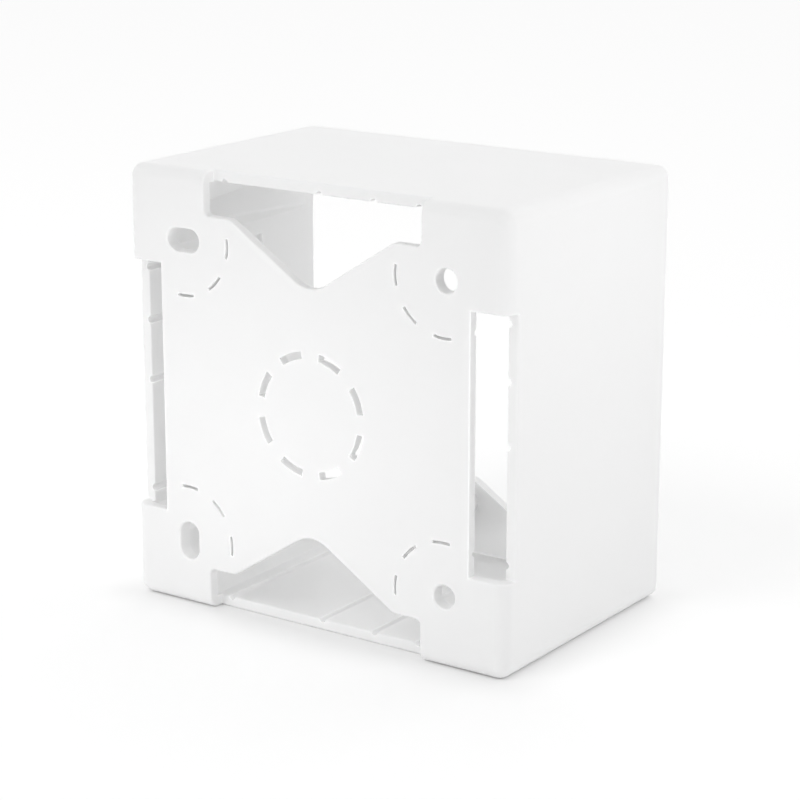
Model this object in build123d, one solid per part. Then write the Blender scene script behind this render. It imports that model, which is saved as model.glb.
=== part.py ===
from build123d import *
import os
from math import radians, tan

# The moulding as a whole. X runs across the back, Z up the back, Y from the back to the open front.
side = 86.0  # height and width of the square box
depth = 56.0  # back face to front rim
wall = 2.2
panel = 2.0  # back panel
edge_radius = 2.5  # outer edges round the back and along the depth
rim_chamfer = 0.3  # outer edge of the front rim
mouth_corner = 1.0  # inner corners of the plain mouth behind the rim

# Corner pads, flush with the panel. Between them the walls stop short of the back face.
pad_start = 24.5  # from the centre line to a pad's edge
set_back = 3.3  # from the back face to a wall's rear edge
set_back_radius = 0.5  # outer corner of that rear edge
inner_edge_radius = 0.3  # its inner corner
free_edge_radius = 0.4  # free edges of the pads and of the V notches

# Corner blocks, which taper towards the front and have a sloped free side
block_back = 5.8  # thickness on the wall, at the panel
block_front = 1.0  # thickness at the block's front end
block_end = 4.0  # from the block's front end to the rim
block_foot_back = 25.2  # from the centre line to the foot of the slope, at the panel
block_foot_front = 26.4  # the same at the front end
block_corner = 2.5  # rounding between a corner's two blocks
slope_radius = 1.0  # rounding along the top of the slope

# Lugs for the faceplate's screws, one on the top wall and one on the bottom wall
screw_pitch = 60.3  # between the two screws
lug_radius = 5.2  # tip of the lug, round the screw
lug_thick = 2.1
lug_drop = 1.4  # lug's front face behind the rim
lug_shoulder = 5.1  # inner face of the wall to the lug's shoulder, at the ends of its foot
lug_bend = 18.2  # from the centre line to the bend between shoulder and slope
lug_boss_radius = 3.2
lug_boss_length = 5.5
pilot_radius = 1.45  # for a 3.5 mm machine screw

# Notches in the panel, through which the mould forms the back of the lugs
lug_clearance = 1.0  # between the outlines of lug and notch
notch_corner = 1.1  # corner between a pad's edge and the shoulder
notch_bend = 2.5  # rounding where the shoulder turns into the slope

# Slots in the panel beside the left and right walls
slot_width = 5.8  # inner face of the wall to the panel's edge
nick_radius = 0.6  # short half-round grooves inside the panel, open to the slot
nick_length = 3.0
nick_place = 20.4

# Corner rings: each corner has a low boss inside and a circle of slits round one centre
corner_x = 29.6
corner_z = 29.5
boss_radius = 6.0
boss_height = 0.9

# Fixing holes, one through each boss. The left pair are slots, level and upright.
fixing_radius = 2.3
fixing_travel = 3.0  # between the centres of a slot's two ends
fixing_chamfer = 0.25  # rims in the back face
upright_drop = 0.4  # the upright slot's centre below its boss's centre
round_x = 29.8
round_z = 29.25

# Corner knock-outs: slits on the side of the boss towards the middle
arc_radius = 10.6
arc_slit = 0.6  # width of a slit
arc_reach = 21.0  # angle that a slit covers
arc_step = 42.5  # angle from one slit to the next

# Round knock-out in the middle, held by the webs between its slits
ring_radius = 11.46
ring_slit = 1.48
ring_reach = 25.6
ring_slits = 8

# Cable knock-outs: grooved lines on the inside of each wall
groove_radius = 0.75
groove_depth = 0.7
groove_places = (-21.9, 0.0, 12.0, 21.9)  # across the bottom and top walls
side_groove_places = (-21.9, 0.1, 12.0, 22.5)  # up the left and right walls
groove_end = 38.0  # back face to the cross groove

# How far a cutting shape runs past what it cuts
spare = 1.0

half = side / 2
reach = half - wall
screw_height = screw_pitch / 2
block_finish = depth - block_end
lug_back = depth - lug_drop - lug_thick
panel_edge = reach - slot_width
swap_walls = Plane(origin=(0, 0, 0), x_dir=(0, 1, 0), z_dir=(1, 0, -1))


def along_depth(outline, start, length):
    """Carry an outline drawn in the back view (X across, Z up) from one depth towards the front."""
    return extrude(Plane.XZ.offset(-start) * outline, amount=length, dir=(0, 1, 0))


def box_between(low, high):
    """Box given by its lowest and highest corners."""
    size = [b - a for a, b in zip(low, high)]
    return Pos(*low) * Box(*size, align=(Align.MIN, Align.MIN, Align.MIN))


def bottom_and_top(shape):
    """The shape on the bottom wall and its mirror image on the top wall."""
    return [shape, mirror(shape, about=Plane.XY)]


def left_and_right(shape):
    """The shape on the left wall and its mirror image on the right wall."""
    return [shape, mirror(shape, about=Plane.YZ)]


def all_walls(shape):
    """The shape of the bottom wall, repeated on the top, left and right walls."""
    pair = bottom_and_top(shape)
    return pair + [mirror(one, about=swap_walls) for one in pair]


def outer_block():
    """Plain block, rounded round the back and along the depth, with a chamfered rim at the front."""
    block = Pos(0, depth / 2, 0) * Box(side, depth, side)
    rim = block.faces().sort_by(Axis.Y)[-1].edges()
    block = fillet(block.edges() - rim, edge_radius)
    rim = block.faces().sort_by(Axis.Y)[-1].edges()
    return chamfer(rim, rim_chamfer)


def bay():
    """Hollow over the bottom wall between two corner blocks, with sides at 45 degrees."""
    rise = block_back + spare
    sections = []
    for start, foot in ((panel, block_foot_back), (block_finish, block_foot_front)):
        outline = Polygon(
            (-foot, 0),
            (foot, 0),
            (foot + rise, rise),
            (-foot - rise, rise),
            align=None,
        )
        sections.append(Plane.XZ.offset(-start) * Pos(0, -reach) * outline)
    return loft(sections, ruled=True)


def cavity():
    """Inside of the box: a tapered core, four bays beside it and the plain mouth in front."""
    sections = []
    for start, thick in ((panel, block_back), (block_finish, block_front)):
        width = 2 * (reach - thick)
        outline = RectangleRounded(width, width, block_corner)
        sections.append(Plane.XZ.offset(-start) * outline)
    core = loft(sections, ruled=True)
    mouth = RectangleRounded(2 * reach, 2 * reach, mouth_corner)
    return core + all_walls(bay()) + along_depth(mouth, block_finish, block_end + spare)


def round_slopes(shell):
    """Round the eight long edges where a corner block's slope meets its face."""
    across = (block_foot_back + block_back + block_foot_front + block_front) / 2
    height = reach - (block_back + block_front) / 2

    def along_a_slope(edge):
        middle = edge.center()
        small, large = sorted((abs(middle.X), abs(middle.Z)))
        return abs(small - across) < slope_radius and abs(large - height) < slope_radius

    return fillet(shell.edges().filter_by(along_a_slope), slope_radius)


def lug_outline():
    """Back view of the bottom lug: a foot along the wall, shoulders, and slopes to a round tip."""
    shoulder = lug_shoulder - reach
    half_foot = pad_start - lug_clearance
    foot_height = lug_shoulder + wall / 2
    foot = Pos(0, shoulder) * Rectangle(2 * half_foot, foot_height, align=(Align.CENTER, Align.MAX))
    tip = Pos(0, -screw_height) * Circle(lug_radius)
    base = Line((-lug_bend, shoulder), (lug_bend, shoulder))
    return foot + make_hull(tip.edges() + base.edges())


def notch_outline():
    """Back view of the bottom notch: the lug's outline with clearance all round, corners rounded."""
    outline = offset(lug_outline(), lug_clearance, kind=Kind.INTERSECTION)
    shoulder = lug_shoulder + lug_clearance - reach

    def shoulder_corners(shape):
        level = [v for v in shape.vertices() if abs(v.Y - shoulder) < 0.01]
        return sorted(level, key=lambda v: abs(v.X))

    outline = fillet(shoulder_corners(outline)[-2:], notch_corner)
    return fillet(shoulder_corners(outline)[:2], notch_bend)


def lug():
    """Bottom lug with the screw boss behind it and the pilot hole through both."""
    boss_back = lug_back - lug_boss_length
    screw_line = Pos(0, -screw_height)
    boss = along_depth(screw_line * Circle(lug_boss_radius), boss_back, lug_boss_length)
    hole_length = lug_boss_length + lug_thick + 2 * spare
    hole = along_depth(screw_line * Circle(pilot_radius), boss_back - spare, hole_length)
    return along_depth(lug_outline(), lug_back, lug_thick) + boss - hole


def slit(radius, width, reach_angle, direction):
    """Back view of one slit: a stretch of a ring, seen from the ring's centre in a direction."""
    ring = Circle(radius + width / 2) - Circle(radius - width / 2)
    far = 2 * radius
    spread = far * tan(radians(reach_angle / 2))
    wedge = Polygon((0, 0), (far, -spread), (far, spread), align=None)
    return Rot(0, 0, direction) * (ring & wedge)


def fixing_outlines():
    """Back view of the four fixing holes: slots on the left, round holes on the right."""
    level_slot = SlotCenterToCenter(fixing_travel, 2 * fixing_radius)
    upright_slot = Rot(0, 0, 90) * level_slot
    round_hole = Circle(fixing_radius)
    return [
        Pos(-corner_x, corner_z) * level_slot,
        Pos(-corner_x, -corner_z - upright_drop) * upright_slot,
        Pos(round_x, round_z) * round_hole,
        Pos(round_x, -round_z) * round_hole,
    ]


def corner_slits():
    """Back view of the three slits round each boss."""
    slits = []
    for x, z, inwards in (
        (-corner_x, corner_z, -45),
        (-corner_x, -corner_z, 45),
        (corner_x, corner_z, -135),
        (corner_x, -corner_z, 135),
    ):
        for step in (-arc_step, 0, arc_step):
            one = slit(arc_radius, arc_slit, arc_reach, inwards + step)
            slits.append(Pos(x, z) * one)
    return slits


def ring_slit_outlines():
    """Back view of the slits of the round knock-out."""
    pitch = 360 / ring_slits
    return [slit(ring_radius, ring_slit, ring_reach, pitch * (k + 0.5)) for k in range(ring_slits)]


def bottom_grooves(places):
    """Knock-out lines in the bottom wall: grooves along the depth, joined by one across."""
    axis_height = -reach - groove_depth + groove_radius
    lines = []
    for place in places:
        outline = Pos(place, axis_height) * Circle(groove_radius)
        lines.append(along_depth(outline, set_back - spare, groove_end - set_back + spare))
    first, last = places[0], places[-1]
    across = Pos((first + last) / 2, groove_end, axis_height) * Rot(0, 90, 0)
    lines.append(across * Cylinder(groove_radius, last - first + 2 * groove_radius))
    return lines


def wall_grooves():
    """Knock-out lines in all four walls."""
    grooves = []
    for line in bottom_grooves(groove_places):
        grooves += bottom_and_top(line)
    for line in bottom_grooves(side_groove_places):
        grooves += left_and_right(mirror(line, about=swap_walls))
    return grooves


def nick_grooves():
    """Short grooves on the inside of the panel, which end at the slots beside it."""
    grooves = []
    middle = -panel_edge + (nick_length - spare) / 2
    for z in (-nick_place, nick_place):
        bar = Pos(middle, panel, z) * Rot(0, 90, 0) * Cylinder(nick_radius, nick_length + spare)
        grooves += left_and_right(bar)
    return grooves


def set_back_walls(shell):
    """Cut the walls back between the pads and round their new outer edges."""
    strip = box_between((-pad_start, -spare, -half - spare), (pad_start, set_back, -reach))
    shell = shell - all_walls(strip)

    def along_a_rear_edge(edge):
        middle = edge.center()
        outside = max(abs(middle.X), abs(middle.Z)) > half - 0.01
        return outside and abs(middle.Y - set_back) < 0.01 and edge.length > pad_start

    return fillet(shell.edges().filter_by(along_a_rear_edge), set_back_radius)


def fixing_bosses():
    """Low round bosses on the inside of the panel, one round each fixing hole."""
    bosses = []
    for x in (-corner_x, corner_x):
        for z in (-corner_z, corner_z):
            outline = Pos(x, z) * Circle(boss_radius)
            bosses.append(along_depth(outline, panel / 2, panel / 2 + boss_height))
    return bosses


def notches_and_slots():
    """The large openings round the panel: V notches at the lugs, slots beside the side walls."""
    notch = along_depth(notch_outline(), -spare, panel + 2 * spare)
    low = (-reach, -spare, -pad_start)
    high = (-panel_edge, panel + spare, pad_start)
    return bottom_and_top(notch) + left_and_right(box_between(low, high))


def through_panel(outlines):
    """Cutting shapes that carry outlines drawn in the back view through the panel and bosses."""
    return [along_depth(one, -spare, panel + boss_height + 2 * spare) for one in outlines]


def round_free_edges(shell):
    """Round the edges of the pads and V notches at the back, and the walls' inner rear edges."""
    start_of_rounding = half - edge_radius

    def at_the_back(edge):
        middle = edge.center()
        smooth = [abs(abs(v) - start_of_rounding) < 0.01 for v in (middle.X, middle.Z)]
        beside_a_slot = abs(abs(middle.X) - panel_edge) < 0.01 and edge.length > pad_start
        return edge.bounding_box().max.Y < 0.01 and not any(smooth) and not beside_a_slot

    def on_a_pad_side(edge):
        middle = edge.center()
        small, large = sorted((abs(middle.X), abs(middle.Z)))
        on_side = abs(small - pad_start) < 0.01 and large > start_of_rounding
        return on_side and large > reach and edge.bounding_box().min.Y < edge_radius + 0.01

    def on_a_rear_edge(edge):
        middle = edge.center()
        inside = abs(max(abs(middle.X), abs(middle.Z)) - reach) < 0.01
        return inside and abs(middle.Y - set_back) < 0.01 and edge.length > pad_start

    chains = shell.edges().filter_by(at_the_back) + shell.edges().filter_by(on_a_pad_side)
    shell = fillet(chains, free_edge_radius)
    return fillet(shell.edges().filter_by(on_a_rear_edge), inner_edge_radius)


def chamfer_hole_rims(shell):
    """Chamfer the rims of the fixing holes in the back face."""
    holes = [(outline.center().X, outline.center().Y) for outline in fixing_outlines()]

    def at_a_rim(edge):
        middle = edge.center()
        near = [abs(middle.X - x) + abs(middle.Z - z) < 2 * fixing_radius for x, z in holes]
        return edge.bounding_box().max.Y < 0.01 and any(near)

    return chamfer(shell.edges().filter_by(at_a_rim), fixing_chamfer)


def back_box():
    """The whole moulding."""
    shell = round_slopes(outer_block() - cavity())
    shell = set_back_walls(shell)
    shell = shell + fixing_bosses() + bottom_and_top(lug())
    shell = round_free_edges(shell - notches_and_slots())
    shell = chamfer_hole_rims(shell - through_panel(fixing_outlines()))
    shell = shell - through_panel(corner_slits() + ring_slit_outlines())
    return shell - wall_grooves() - nick_grooves()


os.makedirs("parts", exist_ok=True)
export_step(back_box(), "parts/back_box.step")
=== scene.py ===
import math

import bpy
from mathutils import Matrix, Vector


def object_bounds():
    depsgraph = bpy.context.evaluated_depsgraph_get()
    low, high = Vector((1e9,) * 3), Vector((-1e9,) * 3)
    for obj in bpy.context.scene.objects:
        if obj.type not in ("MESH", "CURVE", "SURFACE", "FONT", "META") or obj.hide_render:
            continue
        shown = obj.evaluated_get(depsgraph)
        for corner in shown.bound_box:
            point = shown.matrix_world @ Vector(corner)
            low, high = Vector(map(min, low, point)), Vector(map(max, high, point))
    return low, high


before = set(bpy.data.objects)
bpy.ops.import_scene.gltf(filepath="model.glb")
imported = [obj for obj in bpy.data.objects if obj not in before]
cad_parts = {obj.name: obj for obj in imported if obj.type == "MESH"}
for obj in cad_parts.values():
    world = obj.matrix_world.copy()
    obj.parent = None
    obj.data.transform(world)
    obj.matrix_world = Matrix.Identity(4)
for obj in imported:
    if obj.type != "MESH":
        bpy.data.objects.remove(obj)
cad_low, cad_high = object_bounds()

# The box: a single gang back box, one injection moulding in white ABS.
# The mould's cavity has a fine spark-eroded grain, so the outside is satin, with soft
# highlights; broad faces sink and flow a little as they cool, which bends reflections.
MM = 0.001
ABS_WHITE = "#FBFBFB"
ABS_WHITE_LOW = "#F9F9F9"  # a shade lower, where the flow differs
ABS_IOR = 1.52
ABS_ROUGHNESS = (0.30, 0.38)  # satin, and uneven with the grain
SCATTER_MM = 0.6  # how far light wanders under the surface of the white plastic
GRAIN_MM = 0.16  # spark grain is about 0.05 mm; drawn coarser, so that it just shows
GRAIN_DEPTH_MM = 0.01
GRAIN_STRENGTH = 0.12
GRAIN_DETAIL = 2.0
FLOW_MM = 14.0  # waves left by flow and sink
FLOW_DEPTH_MM = 0.05
FLOW_STRENGTH = 0.25
FLOW_DETAIL = 1.0


def linear(hex_colour):
    """An sRGB hex colour as linear RGBA."""
    channels = [int(hex_colour[i : i + 2], 16) / 255 for i in (1, 3, 5)]
    return [c / 12.92 if c <= 0.04045 else ((c + 0.055) / 1.055) ** 2.4 for c in channels] + [1.0]


def bare_tree(holder):
    """The node tree of a new material or world, emptied."""
    holder.use_nodes = True
    holder.node_tree.nodes.clear()
    return holder.node_tree


def node(tree, kind, settings=None, **links):
    """Add a shader node.

    Settings are its properties. Links give its inputs, by name or as i and a number, the
    value or the other node's output that each one takes.
    """
    made = tree.nodes.new(kind)
    for name, value in (settings or {}).items():
        setattr(made, name, value)
    for name, value in links.items():
        numbered = name[0] == "i" and name[1:].isdigit()
        socket = made.inputs[int(name[1:]) if numbered else name]
        if isinstance(value, bpy.types.NodeSocket):
            tree.links.new(value, socket)
        else:
            socket.default_value = value
    return made


def white_abs():
    """Moulded white ABS: satin, with a spark grain and a slow waviness in its normals."""
    material = bpy.data.materials.new("white_abs_moulded")
    tree = bare_tree(material)
    place = node(tree, "ShaderNodeTexCoord").outputs["Object"]
    grain = node(tree, "ShaderNodeTexNoise", i0=place, Scale=1 / (GRAIN_MM * MM), Detail=GRAIN_DETAIL)
    flow = node(tree, "ShaderNodeTexNoise", i0=place, Scale=1 / (FLOW_MM * MM), Detail=FLOW_DETAIL)
    tone = node(
        tree,
        "ShaderNodeMix",
        {"data_type": "RGBA"},
        Factor=flow.outputs["Fac"],
        i6=linear(ABS_WHITE_LOW),
        i7=linear(ABS_WHITE),
    )
    low, high = ABS_ROUGHNESS
    gloss = node(
        tree, "ShaderNodeMapRange", Value=grain.outputs["Fac"], **{"To Min": low, "To Max": high}
    )
    waves = node(
        tree,
        "ShaderNodeBump",
        Strength=FLOW_STRENGTH,
        Distance=FLOW_DEPTH_MM * MM,
        Height=flow.outputs["Fac"],
    )
    grained = node(
        tree,
        "ShaderNodeBump",
        Strength=GRAIN_STRENGTH,
        Distance=GRAIN_DEPTH_MM * MM,
        Height=grain.outputs["Fac"],
        Normal=waves.outputs["Normal"],
    )
    plastic = node(
        tree,
        "ShaderNodeBsdfPrincipled",
        {"subsurface_method": "BURLEY"},
        IOR=ABS_IOR,
        Roughness=gloss.outputs["Result"],
        Normal=grained.outputs["Normal"],
        **{
            "Base Color": tone.outputs[2],
            "Subsurface Weight": 1.0,
            "Subsurface Radius": (1.0, 1.0, 1.0),
            "Subsurface Scale": SCATTER_MM * MM,
        },
    )
    node(tree, "ShaderNodeOutputMaterial", Surface=plastic.outputs["BSDF"])
    return material


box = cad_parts["back_box"]
box.material_slots[0].material = white_abs()

# The floor: a white table top that runs on as the backdrop.
# Matt white paper, which is seen a little brighter than it lights the box, so that it is
# plain white; that lift falls off close to the box, which paints shade round its foot on top of its
# rendered shadow.
FLOOR_SIZE = 4.0
PAPER_WHITE = "#FEFEFE"
PAPER_LIFT = 1.16  # how much brighter the open paper is seen
# Painted shade: within this distance of the box the paper is seen darker, the more so towards its foot.
PAINTED_SHADE_MM = 8.0  # the lift is whole from this distance on
LIFT_IN_PAINTED_SHADE = 0.45  # share of the lift that is left at the foot of the box


def seen_ray(tree):
    """1 for rays that are seen, straight, in a reflection or through glass; 0 for bounced light."""
    rays = node(tree, "ShaderNodeLightPath")
    seen = rays.outputs["Is Camera Ray"]
    for name in ("Is Glossy Ray", "Is Transmission Ray"):
        seen = node(tree, "ShaderNodeMath", {"operation": "MAXIMUM"}, i0=seen, i1=rays.outputs[name])
        seen = seen.outputs[0]
    return seen


def beyond_box(tree):
    """Distance on the floor from the box's footprint, in metres.

    It is the length of what is left of the place, measured from the footprint's middle and
    without its signs, when half the footprint's size is taken off and nothing goes below zero.
    """
    middle = (cad_low + cad_high) / 2
    half = (cad_high - cad_low) / 2
    zero = (0.0, 0.0, 0.0)
    steps = (
        ("SUBTRACT", (middle.x, middle.y, cad_low.z)),
        ("ABSOLUTE", zero),
        ("SUBTRACT", (half.x, half.y, 0.0)),
        ("MAXIMUM", zero),
    )
    place = node(tree, "ShaderNodeTexCoord").outputs["Object"]
    for operation, operand in steps:
        step = node(tree, "ShaderNodeVectorMath", {"operation": operation}, i0=place, i1=operand)
        place = step.outputs[0]
    return node(tree, "ShaderNodeVectorMath", {"operation": "LENGTH"}, i0=place).outputs["Value"]


def paper_with_painted_shade():
    """Matt white paper that is lifted for seen rays, by less near the foot of the box, which paints
    shade there.
    """
    material = bpy.data.materials.new("paper_with_painted_shade")
    tree = bare_tree(material)
    # Painted shade: the share of the lift shrinks towards the foot of the box, so the paper is seen
    # darker there.
    painted_shade_falloff = node(
        tree,
        "ShaderNodeMapRange",
        Value=beyond_box(tree),
        **{"From Max": PAINTED_SHADE_MM * MM, "To Min": LIFT_IN_PAINTED_SHADE},
    )
    lifted = node(
        tree, "ShaderNodeMath", {"operation": "MULTIPLY"}, i0=painted_shade_falloff.outputs[0], i1=seen_ray(tree)
    )
    tone = node(
        tree,
        "ShaderNodeMix",
        {"data_type": "RGBA"},
        Factor=lifted.outputs[0],
        i6=linear(PAPER_WHITE),
        i7=(PAPER_LIFT, PAPER_LIFT, PAPER_LIFT, 1.0),
    )
    matt = node(tree, "ShaderNodeBsdfDiffuse", Color=tone.outputs[2])
    node(tree, "ShaderNodeOutputMaterial", Surface=matt.outputs[0])
    return material


half_floor = FLOOR_SIZE / 2
corners = ((-1, -1), (1, -1), (1, 1), (-1, 1))
floor_mesh = bpy.data.meshes.new("floor")
floor_mesh.from_pydata(
    [(across * half_floor, along * half_floor, cad_low.z) for across, along in corners],
    [],
    [(0, 1, 2, 3)],
)
floor_mesh.materials.append(paper_with_painted_shade())
floor = bpy.data.objects.new("floor", floor_mesh)
bpy.context.scene.collection.objects.link(floor)

# The studio: a white room, which is seen as plain white, and three soft lamps.
# From most sides the room sheds less light on the box than white would, and from straight
# in front, where the box is open, it sheds more than that, so that light gets inside.
ROOM_WHITE = "#FFFFFF"
ROOM_SEEN = 1.0
ROOM_LIGHT = 0.70
ROOM_FRONT = 0.57  # what is added straight in front; it falls to nothing at the sides
SPOT_BULB = 0.05  # radius of a spot's bulb, in metres, which softens its shadows

world = bpy.data.worlds.new("studio")
bpy.context.scene.world = world
tree = bare_tree(world)
outward = node(tree, "ShaderNodeTexCoord").outputs["Generated"]
facing = node(
    tree, "ShaderNodeVectorMath", {"operation": "DOT_PRODUCT"}, i0=outward, i1=(0.0, ROOM_FRONT, 0.0)
)
front = node(tree, "ShaderNodeMath", {"operation": "MAXIMUM"}, i0=facing.outputs["Value"], i1=0.0)
shed = node(tree, "ShaderNodeMath", {"operation": "ADD"}, i0=front.outputs[0], i1=ROOM_LIGHT)
glow = node(
    tree,
    "ShaderNodeMapRange",
    Value=seen_ray(tree),
    **{"To Min": shed.outputs[0], "To Max": ROOM_SEEN},
)
room = node(tree, "ShaderNodeBackground", Color=linear(ROOM_WHITE), Strength=glow.outputs[0])
node(tree, "ShaderNodeOutputWorld", Surface=room.outputs[0])


def hang(name, light, place, target):
    """Hang a lamp at a place, facing a target, both in metres."""
    holder = bpy.data.objects.new(name, light)
    holder.location = place
    holder.rotation_mode = "QUATERNION"
    holder.rotation_quaternion = (Vector(target) - Vector(place)).to_track_quat("-Z", "Y")
    bpy.context.scene.collection.objects.link(holder)


def soft_box(name, place, target, size, watts):
    """Square lamp with sides of that many metres."""
    light = bpy.data.lights.new(name, "AREA")
    light.shape = "SQUARE"
    light.size = size
    light.energy = watts
    hang(name, light, place, target)


def soft_spot(name, place, target, width, watts):
    """Spot lamp whose soft round pool is that many metres wide where it falls on its target.

    Its angle is twice the arctangent of half that width over the distance.
    """
    light = bpy.data.lights.new(name, "SPOT")
    distance = (Vector(target) - Vector(place)).length
    light.spot_size = 2 * math.atan(width / 2 / distance)
    light.spot_blend = 1.0
    light.shadow_soft_size = SPOT_BULB
    light.energy = watts
    hang(name, light, place, target)


# Two low spots light the back and the right wall from the side, and miss the top.
soft_spot("low_left", place=(-0.35, -0.75, -0.02), target=(-0.018, 0.0, -0.024), width=0.125, watts=7.0)
soft_spot("right", place=(0.8, -0.1, 0.03), target=(0.043, 0.03, 0.046), width=0.17, watts=3.2)
soft_box("over_back", place=(-0.2, -0.6, 0.75), target=(0.0, 0.0, 0.0), size=0.4, watts=0.92)

# The camera stands where the photograph's did: 35 degrees round to the right, 15 degrees up.
# Its place, its turn and its lens were fitted to the straight edges of the box.
AZIMUTH = math.radians(34.767)
ELEVATION = math.radians(15.376)
ROLL = math.radians(0.059)
CAMERA_MM = (260.70, -346.55, 122.28)
LENS_MM = 109.94
SENSOR_MM = 36.0
NEAREST = 0.01
FARTHEST = 20.0

back = Vector(
    (
        math.sin(AZIMUTH) * math.cos(ELEVATION),
        -math.cos(AZIMUTH) * math.cos(ELEVATION),
        math.sin(ELEVATION),
    )
)
right = Vector((math.cos(AZIMUTH), math.sin(AZIMUTH), 0.0))
up = back.cross(right)
rolled_right = right * math.cos(ROLL) + up * math.sin(ROLL)
rolled_up = up * math.cos(ROLL) - right * math.sin(ROLL)
camera_data = bpy.data.cameras.new("camera")
camera_data.sensor_width = SENSOR_MM
camera_data.lens = LENS_MM
camera_data.clip_start = NEAREST
camera_data.clip_end = FARTHEST
camera = bpy.data.objects.new("camera", camera_data)
camera.rotation_mode = "QUATERNION"
camera.rotation_quaternion = Matrix((rolled_right, rolled_up, back)).transposed().to_quaternion()
camera.location = Vector(CAMERA_MM) * MM
bpy.context.scene.collection.objects.link(camera)
bpy.context.scene.camera = camera
bpy.context.scene.view_settings.view_transform = "Standard"
